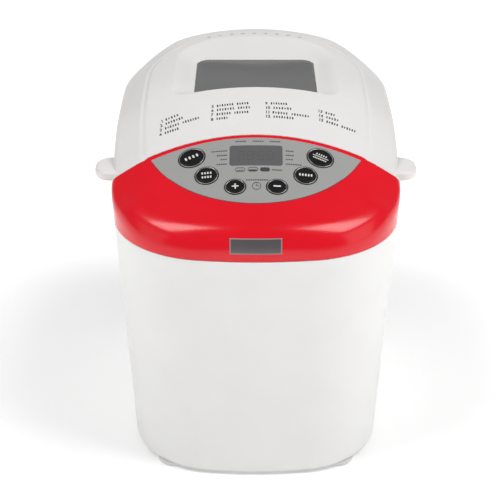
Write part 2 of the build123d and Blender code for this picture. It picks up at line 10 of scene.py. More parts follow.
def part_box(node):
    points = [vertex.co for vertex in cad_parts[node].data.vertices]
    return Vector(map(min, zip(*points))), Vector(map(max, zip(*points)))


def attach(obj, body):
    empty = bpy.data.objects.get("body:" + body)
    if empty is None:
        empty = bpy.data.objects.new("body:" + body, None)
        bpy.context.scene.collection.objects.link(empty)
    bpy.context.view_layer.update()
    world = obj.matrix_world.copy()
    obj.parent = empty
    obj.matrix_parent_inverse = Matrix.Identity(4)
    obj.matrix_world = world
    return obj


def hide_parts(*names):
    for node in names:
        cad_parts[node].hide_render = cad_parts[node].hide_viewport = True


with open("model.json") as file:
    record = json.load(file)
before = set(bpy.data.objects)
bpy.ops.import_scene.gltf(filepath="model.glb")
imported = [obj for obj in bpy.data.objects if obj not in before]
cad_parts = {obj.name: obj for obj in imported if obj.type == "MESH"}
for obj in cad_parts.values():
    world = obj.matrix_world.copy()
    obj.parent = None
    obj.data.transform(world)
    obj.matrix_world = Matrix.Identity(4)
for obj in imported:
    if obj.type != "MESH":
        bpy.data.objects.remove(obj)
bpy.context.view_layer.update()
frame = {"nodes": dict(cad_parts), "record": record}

# The shapes below are worked out in millimetres with the front-most point of
# the casing at y = 0; to_row() takes them to metres in the row's frame.
Y_MID = 171.65
HALF_W, DEPTH = 128.0, 332.0
RF, RFC, RR, RRC = 380.0, 90.0, 300.0, 95.0
Z_BASE, Z_SEAM, Z_FASCIA = 4.2, 258.0, 231.0
DRAFT = math.tan(math.radians(2.85))
CROWN, SLOPE, WALL = 770.0, 0.465, 2.5
PROFILE = [(-40, 233.0), (-6, 249.9), (10, 257.5), (25, 264.5), (60, 280.8), (105, 301.7), (126, 311.3), (145, 319.2),
           (163, 323.6), (200, 326.0), (250, 326.7), (300, 327.2), (320, 327.0), (333, 326.4), (360, 324.0)]
Y_FASCIA, FASCIA_X, FASCIA_ARC = 92.5, 101.0, 105.5
PANEL_X, PANEL_TIP, PANEL_FRONT, PANEL_REAR = 92.0, 90.6, 35.0, 102.9
KEYS = {"menu": (-55.9, 85.3, 12.3, 11.0, 20), "loaf_size": (-42.5, 65.3, 10.6, 10.2, 0),
        "plus": (-17.8, 52.0, 9.5, 8.8, 0), "minus": (17.8, 52.0, 9.5, 8.8, 0),
        "crust": (42.5, 65.3, 10.6, 10.2, 0), "start_stop": (55.9, 85.3, 12.3, 11.0, -20)}
LCD_W, LCD_Y0, LCD_Y1 = 46.0, 73.4, 94.4
WIN_X, WIN_Y0, WIN_Y1 = 56.0, 175.0, 268.7


def to_row(p):
    p = np.asarray(p, float)
    return (p - np.array([0.0, Y_MID, 0.0])) * 0.001


# ------------------------------------------------------------------ envelope
def _table():
    xs, ys = np.array(PROFILE, float).T
    h, d = np.diff(xs), np.diff(ys) / np.diff(xs)
    m = np.zeros(len(xs))
    m[0], m[-1] = d[0], d[-1]
    for i in range(1, len(xs) - 1):
        if d[i - 1] * d[i] > 0:
            w1, w2 = 2 * h[i] + h[i - 1], h[i] + 2 * h[i - 1]
            m[i] = (w1 + w2) / (w1 / d[i - 1] + w2 / d[i])
    t = np.arange(xs[0], xs[-1] + 0.25, 0.5)
    i = np.clip(np.searchsorted(xs, t, side="right") - 1, 0, len(h) - 1)
    s = (t - xs[i]) / h[i]
    v = ((2 * s**3 - 3 * s**2 + 1) * ys[i] + (s**3 - 2 * s**2 + s) * h[i] * m[i]
         + (-2 * s**3 + 3 * s**2) * ys[i + 1] + (s**3 - s**2) * h[i] * m[i + 1])
    k = np.exp(-0.5 * (np.arange(-24, 24.5, 0.5) / 7.0) ** 2)
    pad = np.pad(v, len(k) // 2, mode="reflect", reflect_type="odd")
    return t, np.convolve(pad, k / k.sum(), mode="valid")


TAB_Y, TAB_Z = _table()


def smooth(a, b, x):
    t = np.clip((np.asarray(x, float) - a) / (b - a), 0, 1)
    return t * t * (3 - 2 * t)


def _corner(rc, rb):
    cx = HALF_W - rc
    k = math.sqrt((rb - rc) ** 2 - cx ** 2)
    return cx, k, math.atan2(cx, k)


FCX, FK, FA = _corner(RFC, RF)
RCX, RK, RA = _corner(RRC, RR)
FCY, RCY = RF - FK, DEPTH - RR + RK


def edge(x, y):
    """Distance inwards from the outline in plan, and the outward normal there."""
    x, y = np.broadcast_arrays(np.asarray(x, float), np.asarray(y, float))
    if x.ndim == 0:
        return tuple(float(v[0]) for v in edge(x.reshape(1), y.reshape(1)))
    ax, sg = np.abs(x), np.where(np.asarray(x) < 0, -1.0, 1.0)
    d = HALF_W - ax
    nx, ny = np.ones_like(ax), np.zeros_like(ax)

    def use(m, cx, cy, r):
        vx, vy = ax - cx, y - cy
        l = np.hypot(vx, vy) + 1e-9
        d[m] = (r - l)[m]
        nx[m], ny[m] = (vx / l)[m], (vy / l)[m]
    f, b = y < FCY, y > RCY
    ang = np.arctan2(ax - FCX, FCY - y)
    use(f & (ang > FA), FCX, FCY, RFC)
    use(f & (ang <= FA), 0.0, RF, RF)
    ang = np.arctan2(ax - RCX, y - RCY)
    use(b & (ang > RA), RCX, RCY, RRC)
    use(b & (ang <= RA), 0.0, DEPTH - RR, RR)
    return d, nx * sg, ny


def plain(x, y):
    """Crowned top with its shoulders, before the outer edge is rounded."""
    d, nx, ny = edge(x, y)
    z = np.interp(y, TAB_Y, TAB_Z) - np.asarray(x, float) ** 2 / CROWN
    back = np.asarray(y, float) > 150
    w = np.where(back, smooth(0.45, 0.95, np.abs(nx)), smooth(0.80, 1.0, np.abs(nx)))
    soft = 1.6 + 3.6 * (1 - smooth(84.0, 98.0, y))
    line = np.interp(y, CREASE_Y, CREASE_D)
    z = z - w * 0.35 * soft * np.logaddexp(0, (line - d) / soft)
    wg = np.where(back, smooth(0.25, 0.8, np.abs(nx)), smooth(0.97, 1.0, np.abs(nx))) * smooth(80.0, 96.0, y)
    z = z - wg * 0.75 * np.exp(-((line - d) / 1.7) ** 2)
    return z


def height(x, y):
    """The finished top: plain() with the outer edge rounded off."""
    x, y = np.asarray(x, float), np.asarray(y, float)
    d, nx, ny = edge(x, y)
    r = 11.0 + 19.0 * smooth(0.05, 0.9, -ny) - 3.5 * smooth(0.3, 0.95, ny)
    e = 0.5
    z = plain(x, y)
    m = np.clip((plain(x - nx * e, y - ny * e) - z) / e, -0.2, 1.2)
    a = np.arctan(m)
    t = r * np.tan((math.pi / 2 - a) / 2)
    dt = t * np.cos(a)
    dd = np.clip(d, 0, r)
    f = m * dd + t - np.sqrt(np.maximum(r * r - (r - dd) ** 2, 0))
    return z - np.where(d < dt, np.maximum(f, 0), 0)


CREASE_Y = [60, 90, 97, 104, 132, 203, 252, 400]
CREASE_D = [30.5, 30.5, 29.6, 28.2, 26.2, 25.2, 26.2, 27.0]


def draft(z):
    return np.maximum(0, (Z_SEAM - np.asarray(z, float)) * DRAFT)


def outline(y0, y1, step=1.6, back=True):
    """Points of the outline from (HALF_W, y) round to (-HALF_W, y).

    back=True goes round the rear from y0, back=False round the front."""
    p = []

    def arc(cx, cy, r, a, b):
        n = max(2, int(abs(b - a) * r / step))
        for t in np.linspace(a, b, n, endpoint=False):
            p.append((cx + r * math.sin(t), cy - r * math.cos(t)))

    def line(x, a, b):
        n = max(2, int(abs(b - a) / step))
        for t in np.linspace(a, b, n, endpoint=False):
            p.append((x, t))
    h = math.pi / 2
    if back:
        line(HALF_W, y0, RCY)
        arc(RCX, RCY, RRC, h, math.pi - RA)
        arc(0, DEPTH - RR, RR, math.pi - RA, math.pi + RA)
        arc(-RCX, RCY, RRC, math.pi + RA, 3 * h)
        line(-HALF_W, RCY, y1)
        p.append((-HALF_W, y1))
    else:
        if y0 > FCY + 1e-6:
            line(HALF_W, y0, FCY)
        arc(FCX, FCY, RFC, h, FA)
        arc(0, RF, RF, FA, -FA)
        arc(-FCX, FCY, RFC, -FA, -h)
        if y1 > FCY + 1e-6:
            line(-HALF_W, FCY, y1)
        p.append((-HALF_W, y1))
    return np.array(p)


def boundary(shift, step=1.6):
    """Rear edge of the fascia in plan, from the left side to the right side."""
    y = Y_FASCIA + shift
    s = FASCIA_ARC - Y_FASCIA
    r = (FASCIA_X ** 2 + s ** 2) / (2 * s)
    a = math.asin(FASCIA_X / r)
    p = [(x, y) for x in np.linspace(-HALF_W, -FASCIA_X, 18, endpoint=False)]
    n = int(2 * a * r / step)
    p += [(r * math.sin(t), y + s - r + r * math.cos(t)) for t in np.linspace(-a, a, n, endpoint=False)]
    p += [(x, y) for x in np.linspace(FASCIA_X, HALF_W, 18)]
    return np.array(p)


def lens_loop(inset=0.0, n=240):
    """Closed loop of the control panel in plan, starting at its right tip."""
    def arc3(xh, yt, ym):
        s = yt - ym
        r = (xh * xh + s * s) / (2 * abs(s))
        return r, math.asin(min(1, xh / r)), s
    x = PANEL_X - 1.6 * inset
    rf, af, sf = arc3(x, PANEL_TIP, PANEL_FRONT + inset)
    rb, ab, sb = arc3(x, PANEL_TIP, PANEL_REAR - inset)
    cyf = PANEL_FRONT + inset + rf
    cyb = PANEL_REAR - inset - rb
    a = np.linspace(af, -af, n, endpoint=False)
    b = np.linspace(-ab, ab, n, endpoint=False)
    return np.vstack([np.c_[rf * np.sin(a), cyf - rf * np.cos(a)], np.c_[rb * np.sin(b), cyb + rb * np.cos(b)]])


def rrect_loop(hx, y0, y1, r, n=24, rf=None, bow=0.0):
    """Rounded rectangle; rf is the radius at the front, bow how far the front's ends come forward."""
    rf = r if rf is None else rf
    c = [(hx - r, y1 - r, 0, r), (-hx + r, y1 - r, 90, r), (-hx + rf, y0 + rf, 180, rf), (hx - rf, y0 + rf, 270, rf)]
    p = []
    for cx, cy, a0, q in c:
        for a in np.linspace(a0, a0 + 90, n):
            p.append((cx + q * math.cos(math.radians(a)), cy + q * math.sin(math.radians(a))))
    p = np.array(p)
    if bow:
        k = 2 * n + 1
        line = np.c_[np.linspace(-hx + rf, hx - rf, 40)[1:-1], np.full(38, y0)]
        at = 3 * n
        p = np.vstack([p[:at], line, p[at:]])
        w = 1 - smooth(y0, y0 + 60, p[:, 1])
        p[:, 1] -= bow * w * (p[:, 0] / hx) ** 2
    return p


def ray_hit(loop, c, pts):
    """Where rays from c through pts meet the closed loop."""
    d = loop - c
    th = np.arctan2(d[:, 1], d[:, 0])
    rad = np.hypot(d[:, 0], d[:, 1])
    o = np.argsort(th)
    th, dd = th[o], d[o]
    th = np.r_[th[-1] - 2 * math.pi, th, th[0] + 2 * math.pi]
    dd = np.vstack([dd[-1], dd, dd[0]])
    v = pts - c
    a = np.arctan2(v[:, 1], v[:, 0])
    i = np.clip(np.searchsorted(th, a), 1, len(th) - 1)
    p, q = dd[i - 1], dd[i]
    u = v / np.hypot(v[:, 0], v[:, 1])[:, None]
    e = q - p
    den = u[:, 0] * e[:, 1] - u[:, 1] * e[:, 0]
    den = np.where(np.abs(den) < 1e-12, 1e-12, den)
    t = (p[:, 0] * e[:, 1] - p[:, 1] * e[:, 0]) / den
    return c + u * t[:, None]


# ------------------------------------------------------------- mesh building
def new_object(name, verts, faces, body, mat, smooth_deg=32, replaces=(), row=False):
    me = bpy.data.meshes.new(name)
    v = np.asarray(verts, float)
    me.from_pydata((v if row else to_row(v)).tolist(), [], faces)
    me.validate()
    o = bpy.data.objects.new(name, me)
    bpy.context.scene.collection.objects.link(o)
    finish_mesh(o, smooth_deg)
    me.materials.append(mat)
    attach(o, body)
    if replaces:
        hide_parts(*replaces)
    return o


def finish_mesh(o, deg):
    bm = bmesh.new()
    bm.from_mesh(o.data)
    bmesh.ops.remove_doubles(bm, verts=bm.verts, dist=2e-6)
    bmesh.ops.recalc_face_normals(bm, faces=bm.faces)
    bm.to_mesh(o.data)
    bm.free()
    sharpen(o.data, deg)


def sharpen(me, deg):
    bm = bmesh.new()
    bm.from_mesh(me)
    lim = math.radians(deg)
    for f in bm.faces:
        f.smooth = True
    for e in bm.edges:
        e.smooth = not (len(e.link_faces) == 2 and e.calc_face_angle(0) > lim)
    bm.to_mesh(me)
    bm.free()


def grid_faces(rows, cols, closed, base=0):
    f = []
    n = cols if closed else cols - 1
    for i in range(rows - 1):
        a, b = base + i * cols, base + (i + 1) * cols
        for j in range(n):
            k = (j + 1) % cols
            f.append((a + j, a + k, b + k, b + j))
    return f


def solidify(o, t, bevel=0.0, seg=2, angle=40):
    m = o.modifiers.new("wall", "SOLIDIFY")
    m.thickness = t * 0.001
    m.offset = -1
    m.use_even_offset = True
    m.use_quality_normals = True
    if bevel:
        b = o.modifiers.new("edge", "BEVEL")
        b.width = bevel * 0.001
        b.segments = seg
        b.limit_method = "ANGLE"
        b.angle_limit = math.radians(angle)
        b.harden_normals = False
    return o


def apply_all(o, deg=None):
    dg = bpy.context.evaluated_depsgraph_get()
    me = bpy.data.meshes.new_from_object(o.evaluated_get(dg))
    old = o.data
    o.modifiers.clear()
    o.data = me
    bpy.data.meshes.remove(old)
    if deg:
        sharpen(me, deg)
    return o


def cut(o, cutter):
    m = o.modifiers.new("cut", "BOOLEAN")
    m.operation = "DIFFERENCE"
    m.solver = "EXACT"
    m.object = cutter
    apply_all(o)
    bpy.data.objects.remove(cutter)
    return o


def raw_object(name, verts, faces, row=False):
    me = bpy.data.meshes.new(name)
    v = np.asarray(verts, float)
    me.from_pydata((v if row else to_row(v)).tolist(), [], faces)
    o = bpy.data.objects.new(name, me)
    bpy.context.scene.collection.objects.link(o)
    return o


# ------------------------------------------------------------------ materials
def material(name, color, rough=0.4, metal=0.0, coat=0.0, coat_rough=0.1, ior=1.5, alpha=1.0, trans=0.0,
             var=0.03, var_scale=30.0, bump=0.05, bump_scale=900.0, rough_var=0.06, spec=0.5, fine=None, sss=0.0):
    m = bpy.data.materials.new(name)
    m.use_nodes = True
    nt = m.node_tree
    n = nt.nodes
    n.clear()
    out = n.new("ShaderNodeOutputMaterial")
    b = n.new("ShaderNodeBsdfPrincipled")
    nt.links.new(b.outputs[0], out.inputs[0])
    b.inputs["Metallic"].default_value = metal
    b.inputs["IOR"].default_value = ior
    b.inputs["Coat Weight"].default_value = coat
    b.inputs["Coat Roughness"].default_value = coat_rough
    b.inputs["Alpha"].default_value = alpha
    b.inputs["Transmission Weight"].default_value = trans
    b.inputs["Specular IOR Level"].default_value = spec
    if sss:
        b.inputs["Subsurface Weight"].default_value = sss
        b.inputs["Subsurface Scale"].default_value = 0.002
    tc = n.new("ShaderNodeTexCoord")
    no = n.new("ShaderNodeTexNoise")
    no.inputs["Scale"].default_value = var_scale
    no.inputs["Detail"].default_value = 4.0
    nt.links.new(tc.outputs["Object"], no.inputs["Vector"])
    r = n.new("ShaderNodeValToRGB")
    c = np.array(color[:3], float)
    lo, hi = np.clip(c * (1 - var), 0, 1), np.clip(c * (1 + var), 0, 1)
    r.color_ramp.elements[0].position, r.color_ramp.elements[1].position = 0.3, 0.7
    r.color_ramp.elements[0].color = (*lo, 1)
    r.color_ramp.elements[1].color = (*hi, 1)
    nt.links.new(no.outputs["Fac"], r.inputs["Fac"])
    nt.links.new(r.outputs["Color"], b.inputs["Base Color"])
    mr = n.new("ShaderNodeMapRange")
    mr.inputs["To Min"].default_value = max(0.02, rough - rough_var)
    mr.inputs["To Max"].default_value = min(1.0, rough + rough_var)
    nr = n.new("ShaderNodeTexNoise")
    nr.inputs["Scale"].default_value = var_scale * 6
    nr.inputs["Detail"].default_value = 3.0
    nt.links.new(tc.outputs["Object"], nr.inputs["Vector"])
    nt.links.new(nr.outputs["Fac"], mr.inputs["Value"])
    nt.links.new(mr.outputs["Result"], b.inputs["Roughness"])
    if bump:
        nb = n.new("ShaderNodeTexNoise")
        nb.inputs["Scale"].default_value = bump_scale
        nb.inputs["Detail"].default_value = 2.0
        mp = n.new("ShaderNodeMapping")
        if fine:
            mp.inputs["Scale"].default_value = fine
        nt.links.new(tc.outputs["Object"], mp.inputs["Vector"])
        nt.links.new(mp.outputs["Vector"], nb.inputs["Vector"])
        bp = n.new("ShaderNodeBump")
        bp.inputs["Strength"].default_value = bump
        bp.inputs["Distance"].default_value = 0.0002
        nt.links.new(nb.outputs["Fac"], bp.inputs["Height"])
        nt.links.new(bp.outputs["Normal"], b.inputs["Normal"])
    return m


M = {
    "white": material("white_plastic", (0.845, 0.84, 0.83), rough=0.36, var=0.012, bump=0.10, bump_scale=1400, rough_var=0.03),
    # painted shade: the casing's white plastic again, made darker for the lid because its upward faces get less light
    "lid": material("lid_white_painted_shade", (0.78, 0.765, 0.75), rough=0.34, var=0.012, bump=0.10, bump_scale=1400, rough_var=0.03),
    # painted shade: near-black red for the strip that stands in for the groove's shadow round the panel
    "seam": material("groove_painted_shade", (0.10, 0.012, 0.014), rough=0.55, var=0.02, bump=0.0, rough_var=0.0),
    "red": material("red_plastic", (0.755, 0.003, 0.014), rough=0.18, var=0.03, bump=0.04, bump_scale=1200, spec=0.42,
                    rough_var=0.02),
    "panel": material("panel_film", (0.33, 0.33, 0.325), rough=0.42, var=0.02, bump=0.25, bump_scale=2600, rough_var=0.05),
    "black": material("key_black", (0.0075, 0.0068, 0.007), rough=0.36, var=0.15, bump=0.12, bump_scale=2000, spec=0.18),
    "outline": material("ink_black", (0.010, 0.010, 0.010), rough=0.5, var=0.1, bump=0.1, spec=0.2),
    "silver": material("key_silver", (0.33, 0.33, 0.33), rough=0.34, metal=1.0, var=0.03, bump=0.05),
    "ink": material("ink_grey", (0.035, 0.035, 0.036), rough=0.55, var=0.1, bump=0.15),
    "ink_soft": material("ink_mid", (0.09, 0.09, 0.09), rough=0.55, var=0.1, bump=0.15),
    "key_print": material("key_print", (0.72, 0.71, 0.69), rough=0.5, var=0.05, bump=0.1),
    "lcd": material("lcd_face", (0.115, 0.115, 0.119), rough=0.18, var=0.04, bump=0.0, coat=0.2),
    "glass": material("smoked_glass", (0.098, 0.099, 0.100), rough=0.16, var=0.05, var_scale=9, bump=0.0, spec=0.35),
    "pane": material("clear_pane", (0.75, 0.78, 0.78), rough=0.05, alpha=0.35, var=0.02, bump=0.0),
    "gasket": material("black_silicone", (0.02, 0.02, 0.02), rough=0.6, var=0.15, bump=0.2),
    "foot_pale": material("foot_rubber", (0.74, 0.73, 0.72), rough=0.55, var=0.04, bump=0.3),
    "steel": material("zinc_steel", (0.52, 0.52, 0.53), rough=0.34, metal=1.0, var=0.12, var_scale=60, bump=0.06),
    "liner": material("aluminium_sheet", (0.72, 0.72, 0.73), rough=0.30, metal=1.0, var=0.05, bump=0.10, bump_scale=500,
                      fine=(1, 14, 1)),
    "coat": material("non_stick", (0.035, 0.035, 0.037), rough=0.40, var=0.35, var_scale=420, bump=0.25, bump_scale=1500),
    "wire": material("steel_wire", (0.62, 0.62, 0.62), rough=0.22, metal=1.0, var=0.05, bump=0.05),
    "shaft": material("ground_steel", (0.45, 0.45, 0.46), rough=0.25, metal=1.0, var=0.08, bump=0.08, fine=(1, 1, 12)),
    "element": material("element_sheath", (0.16, 0.15, 0.14), rough=0.55, metal=0.8, var=0.3, var_scale=80, bump=0.25),
    "bronze": material("sintered_bronze", (0.45, 0.29, 0.12), rough=0.45, metal=1.0, var=0.15, bump=0.2),
    "pulley": material("black_nylon", (0.03, 0.03, 0.03), rough=0.5, var=0.15, bump=0.2),
    "belt": material("belt_rubber", (0.02, 0.02, 0.02), rough=0.7, var=0.2, bump=0.4, bump_scale=1800),
    "stator": material("laminated_iron", (0.22, 0.22, 0.23), rough=0.45, metal=0.9, var=0.2, bump=0.5, bump_scale=300,
                       fine=(0.05, 0.05, 8)),
    "board": material("circuit_board", (0.02, 0.15, 0.06), rough=0.45, var=0.25, var_scale=160, bump=0.2),
    "lcd_seg": material("lcd_inactive", (0.104, 0.104, 0.107), rough=0.2, var=0.04, bump=0.0),
    "badge": material("badge_satin", (0.13, 0.115, 0.12), rough=0.35, metal=0.4, var=0.06, bump=0.1, fine=(0.1, 1, 10)),
    "badge_dark": material("badge_edge", (0.30, 0.24, 0.24), rough=0.4, var=0.06, bump=0.1),
    "grey": material("grey_plastic", (0.10, 0.10, 0.105), rough=0.5, var=0.1, bump=0.2),
    "cast": material("die_cast", (0.48, 0.48, 0.49), rough=0.42, metal=1.0, var=0.12, bump=0.3, bump_scale=700),
    "vent": material("vent_dark", (0.05, 0.05, 0.05), rough=0.8, var=0.1, bump=0.1),
}

SLOT_MAT = {"white_casing": "white", "red_fascia": "red", "grey_panel": "panel", "black_key": "black",
            "silver_trim": "silver", "lcd_glass": "lcd", "lcd_body": "grey", "window_tint": "glass", "clear_pane": "pane",
            "dark_gasket": "gasket", "foot_rubber": "foot_pale", "sheet_steel": "steel", "liner_metal": "liner",
            "pan_coating": "coat", "wire_steel": "wire", "shaft_steel": "shaft", "element_sheath": "element",
            "bronze_bush": "bronze", "pulley_plastic": "pulley", "belt_rubber": "belt", "stator_iron": "stator",
            "board_green": "board", "inner_plastic": "grey", "die_cast": "cast"}
SLOT_OF = {s["node"]: s["material_slot"] for s in frame["record"]["subparts"]}
for name, o in frame["nodes"].items():
    mat = M[SLOT_MAT[SLOT_OF[name]]]
    if o.material_slots:
        for s in o.material_slots:
            s.material = mat
    else:
        o.data.materials.append(mat)
    if name not in ("control_panel",):
        b = o.modifiers.new("soft_edge", "BEVEL")
        lo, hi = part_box(name)
        b.width = min(0.0004, 0.04 * min(hi - lo))
        b.segments = 2
        b.limit_method = "ANGLE"
        b.angle_limit = math.radians(50)

# -------------------------------------------------------------------- camera
D, ELEV, CX, TY, TZ = 1.200, math.radians(28.0), -0.00524, (140.0 - Y_MID) * 0.001, 0.169
cam_data = bpy.data.cameras.new("camera")
cam_data.sensor_width = 36.0
cam_data.lens = 1259.0 / 500.0 * 36.0
cam = bpy.data.objects.new("camera", cam_data)
cam.location = (CX, TY - D * math.cos(ELEV), TZ + D * math.sin(ELEV))
cam.rotation_euler = (math.pi / 2 - ELEV, 0, 0)
cam_data.clip_start, cam_data.clip_end = 0.05, 30
bpy.context.scene.collection.objects.link(cam)
bpy.context.scene.camera = cam

# ---------------------------------------------------------------------- tub
def build_tub():
    front = outline(93.5, 93.5, back=False)          # right, round the front, to the left
    rear = outline(93.5, 93.5, back=True)[::-1]      # left, round the rear, to the right
    base = np.vstack([front[:-1], rear[:-1]])
    nf = len(front) - 1
    d, nx, ny = edge(base[:, 0], base[:, 1])
    n = np.c_[nx, ny]
    cols = len(base)
    zf, zr = Z_FASCIA - 0.25, Z_SEAM - 0.5
    r = 1.4                                           # rounded lower edge
    rows = []
    for a in np.linspace(0, 90, 6):
        z = Z_BASE + r - r * math.cos(math.radians(a))
        rows.append((z, draft(z) + r - r * math.sin(math.radians(a))))
    for z in np.linspace(Z_BASE + r, zf, 28)[1:]:
        rows.append((z, draft(z)))
    low = len(rows)
    V = [np.c_[base - n * off, np.full(cols, z)] for z, off in rows]
    faces = grid_faces(low, cols, True)
    verts = list(np.vstack(V))
    # the part behind the fascia goes on up to the lid seam
    idx = list(range(nf, cols)) + [0]
    prev = [(low - 1) * cols + j for j in idx]
    for z in np.linspace(zf, zr, 7)[1:]:
        off = float(draft(z))
        cur = []
        for j in idx:
            cur.append(len(verts))
            p = base[j] - n[j] * off
            verts.append((p[0], p[1], z))
        for k in range(len(idx) - 1):
            faces.append((prev[k], prev[k + 1], cur[k + 1], cur[k]))
        prev = cur
    o = new_object("casing_tub", verts, faces, "root", M["white"], 35, ("body_shell",))
    solidify(o, WALL, 0.45, 2, 45)
    apply_all(o, 35)
    return o


tub = build_tub()


def louvres():
    v, f = [], []
    for i in range(7):
        x = -84 + i * 9.0
        ring = []
        for a in range(16):        # rounded slot
            t = a / 16 * 2 * math.pi
            ring.append((x + 1.6 * math.cos(t), 80 + 1.6 * math.sin(t) + (18.4 if math.sin(t) > 0 else -18.4)))
        b = len(v)
        v += [(p[0], 270, p[1]) for p in ring] + [(p[0], 345, p[1]) for p in ring]
        f += [tuple(b + k for k in range(16)), tuple(b + 16 + k for k in range(15, -1, -1))]
        f += [(b + k, b + 16 + k, b + 16 + (k + 1) % 16, b + (k + 1) % 16) for k in range(16)]
    n = 32
    b = len(v)
    for y in (300, 345):
        v += [(28 + 6.55 * math.cos(2 * math.pi * k / n), y, 34 + 6.55 * math.sin(2 * math.pi * k / n)) for k in range(n)]
    f += [tuple(b + k for k in range(n)), tuple(b + n + k for k in range(n - 1, -1, -1))]
    f += [(b + k, b + n + k, b + n + (k + 1) % n, b + (k + 1) % n) for k in range(n)]
    c = raw_object("cutter", v, f)
    bm = bmesh.new(); bm.from_mesh(c.data); bmesh.ops.recalc_face_normals(bm, faces=bm.faces); bm.to_mesh(c.data); bm.free()
    return c


cut(tub, louvres())
sharpen(tub.data, 35)


# ------------------------------------------------------------ top skins
def skin(name, body, mat, replaced, loop, zlow, centre, inner, tail, n_edge, n_mid, near=16.0, snap=()):
    """A shell whose top runs from a closed outer loop in to an inner loop.

    zlow: lower z of the wall for each column; tail: more rows as (loop, z)."""
    cols = len(loop)
    q = ray_hit(inner, centre, loop)
    for s in snap:
        k = int(np.argmin(np.hypot(*(q - s).T)))
        q[k] = s
    v = q - loop
    L = np.hypot(v[:, 0], v[:, 1])
    u = v / np.maximum(L, 1e-9)[:, None]
    zt = height(loop[:, 0], loop[:, 1])
    d, nx, ny = edge(loop[:, 0], loop[:, 1])
    nrm = np.c_[nx, ny]
    on_edge = d < 0.05
    rows = []
    for k in range(12):                       # the wall
        t = k / 12
        z = zlow + (zt - zlow) * t
        off = np.where(on_edge, draft(z), 0)
        rows.append(np.c_[loop - nrm * off[:, None], z])
    lim = np.minimum(near, L * 0.55)
    for k in range(n_edge):
        t = lim * (k / n_edge) ** 2
        p = loop + u * t[:, None]
        z = height(p[:, 0], p[:, 1])
        dd, ax, ay = edge(p[:, 0], p[:, 1])
        off = draft(z) * (1 - smooth(0, 20, dd))
        rows.append(np.c_[p - np.c_[ax, ay] * off[:, None], z])
    for k in range(n_mid + 1):
        t = lim + (L - lim) * k / n_mid
        p = loop + u * t[:, None]
        rows.append(np.c_[p, height(p[:, 0], p[:, 1])])
    for fn in tail:
        rows.append(fn(q, rows[-1]))
    V = np.vstack(rows)
    o = new_object(name, V, grid_faces(len(rows), cols, True), body, mat, 30, replaced)
    return o


# fascia
fl = np.vstack([outline(Y_FASCIA, Y_FASCIA, back=False), boundary(0.0)[1:-1]])
nfront = len(outline(Y_FASCIA, Y_FASCIA, back=False))
zl = np.full(len(fl), Z_FASCIA + 0.25)
bx = np.abs(fl[nfront:, 0])
zl[nfront:] = np.where(bx > 126.0, Z_FASCIA + 0.25 + (126.0 < bx) * 0, 248.0)
LENS = lens_loop()
tails = [lambda q, last: np.c_[q, height(q[:, 0], q[:, 1]) - 1.5]]
fascia = skin("fascia_cover", "root", M["red"], ("front_fascia",), fl, zl, np.array([0.0, 72.0]), LENS,
              tails, 14, 26, 18.0, snap=(np.array([PANEL_X, PANEL_TIP]), np.array([-PANEL_X, PANEL_TIP])))
solidify(fascia, 2.0, 0.35, 2, 45)
apply_all(fascia, 35)

# lid
Y_LID = Y_FASCIA + 0.6
ll = np.vstack([outline(Y_LID, Y_LID, back=True), boundary(0.6)[1:-1]])
zl = np.full(len(ll), Z_SEAM)
REC_A = rrect_loop(77.0, 166.0, 301.0, 46, 40, rf=14, bow=4.0)
REC_B = rrect_loop(WIN_X + 1.2, WIN_Y0 - 1.2, WIN_Y1 + 1.2, 12.5, 40, rf=8, bow=0.001)
REC_C = rrect_loop(WIN_X - 4, WIN_Y0 + 4, WIN_Y1 - 4, 8, 40, rf=5, bow=0.001)
C_LID = np.array([0.0, 232.0])


def recess_rows():
    out = []
    for k in range(1, 15):
        w = k / 14
        def fn(q, last, w=w):
            b = ray_hit(REC_B, C_LID, q)
            p = q + (b - q) * w
            za = height(q[:, 0], q[:, 1])
            s = w * (1 - 0.22 * (1 - w) ** 2 * 1.0)
            s = s + 0.10 * math.sin(math.pi * 2 * w) * (-0.5)
            return np.c_[p, za + (313.2 - za) * s]
        out.append(fn)
    out.append(lambda q, last: np.c_[ray_hit(REC_B, C_LID, q), np.full(len(q), 311.8)])
    out.append(lambda q, last: np.c_[ray_hit(REC_C, C_LID, q), np.full(len(q), 311.8)])
    return out


lid = skin("lid_cover", "lid", M["lid"], ("lid_shell",), ll, zl, C_LID, REC_A, recess_rows(), 14, 46, 18.0)
solidify(lid, WALL, 0.4, 2, 45)
apply_all(lid, 35)


# ---------------------------------------------------------- lens-shaped panel
def surf_pts(xy, lift):
    xy = np.asarray(xy, float)
    return np.c_[xy, height(xy[:, 0], xy[:, 1]) + lift]


def key_frame(x, y):
    z = float(height(x, y))
    e = 0.5
    gx = float(height(x + e, y) - height(x - e, y)) / (2 * e)
    gy = float(height(x, y + e) - height(x, y - e)) / (2 * e)
    n = Vector((-gx, -gy, 1)).normalized()
    u = Vector((1, 0, gx)).normalized()
    return Vector((x, y, z)), u, n.cross(u), n


def lathe_oval(name, x, y, a, b, turn, profile, body, mat, replaces=(), closed=False, n=72, deg=40):
    """profile: list of (inset from the oval's rim, height along the normal)."""
    o, u, v, nrm = key_frame(x, y)
    ct, st = math.cos(math.radians(turn)), math.sin(math.radians(turn))
    U, W = u * ct + v * st, v * ct - u * st
    V = []
    for inset, h in profile:
        for k in range(n):
            t = 2 * math.pi * k / n
            p = o + U * ((a - inset) * math.cos(t)) + W * ((b - inset) * math.sin(t)) + nrm * h
            V.append(tuple(p))
    F = grid_faces(len(profile), n, True)
    if closed:
        m = (len(profile) - 1) * n
        F += [(m + k, m + (k + 1) % n, (k + 1) % n, k) for k in range(n)]
    else:
        F.append(tuple(range(n)))
        top = (len(profile) - 1) * n
        F.append(tuple(top + k for k in range(n)))
    return new_object(name, V, F, body, mat, deg, replaces)


